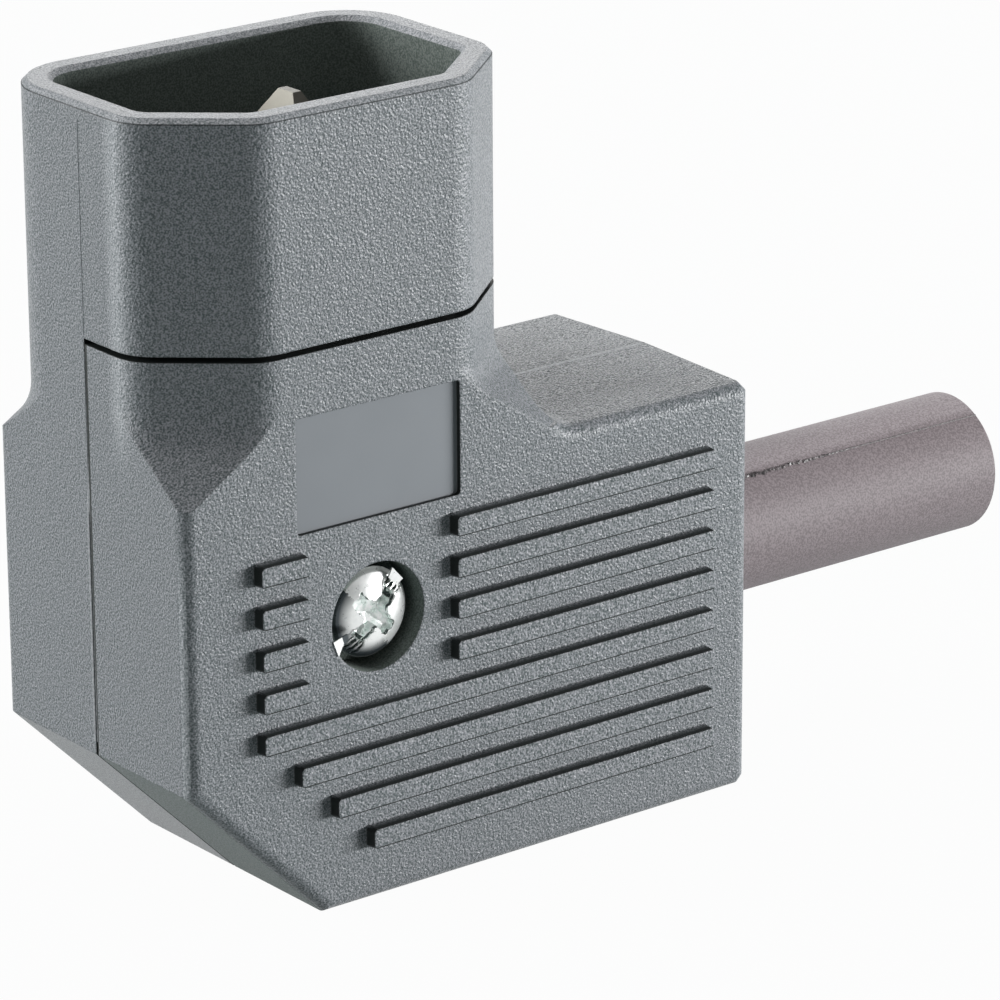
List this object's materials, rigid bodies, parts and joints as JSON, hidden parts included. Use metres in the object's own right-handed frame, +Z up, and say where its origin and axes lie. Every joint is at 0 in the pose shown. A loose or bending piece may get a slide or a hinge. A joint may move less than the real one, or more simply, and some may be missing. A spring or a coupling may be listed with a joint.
{
  "type": "angled appliance plug",
  "caption": "Angled appliance plug with a keyed pin shroud on top, a ribbed two-part housing closed by a screw and a bend sleeve for the cord at the side.",
  "frame": {"origin": "on the base plane, under the axis of the mating shroud, in the parting plane of the two housing halves", "axes": "+X towards the cable, -Y towards the ribbed front with the screw, +Z up towards the mouth of the shroud"},
  "size_m": [0.0731, 0.0222, 0.0529],
  "materials": {
    "rear_shell": "fine spark-eroded grain",
    "front_cover": "fine spark-eroded grain, smooth rib sides",
    "cover_screw": "bright zinc plating",
    "pin_carrier": "satin",
    "earth_pin": "nickel plated",
    "left_power_pin": "nickel plated",
    "right_power_pin": "nickel plated",
    "terminal_screw": "zinc plated",
    "bend_sleeve": "satin soft plastic",
    "cord_clamp": "satin",
    "clamp_screw": "zinc plated"
  },
  "bodies": {
    "root": {"rear_shell": "rear_shell", "front_cover": "front_cover", "cover_screw": "cover_screw", "pin_carrier": "pin_carrier", "earth_pin": "earth_pin", "left_power_pin": "left_power_pin", "right_power_pin": "right_power_pin", "earth_terminal_screw": "terminal_screw", "left_terminal_screw": "terminal_screw", "right_terminal_screw": "terminal_screw", "bend_sleeve": "bend_sleeve", "cord_clamp": "cord_clamp", "lower_clamp_screw": "clamp_screw", "upper_clamp_screw": "clamp_screw"}
  },
  "joints": []
}
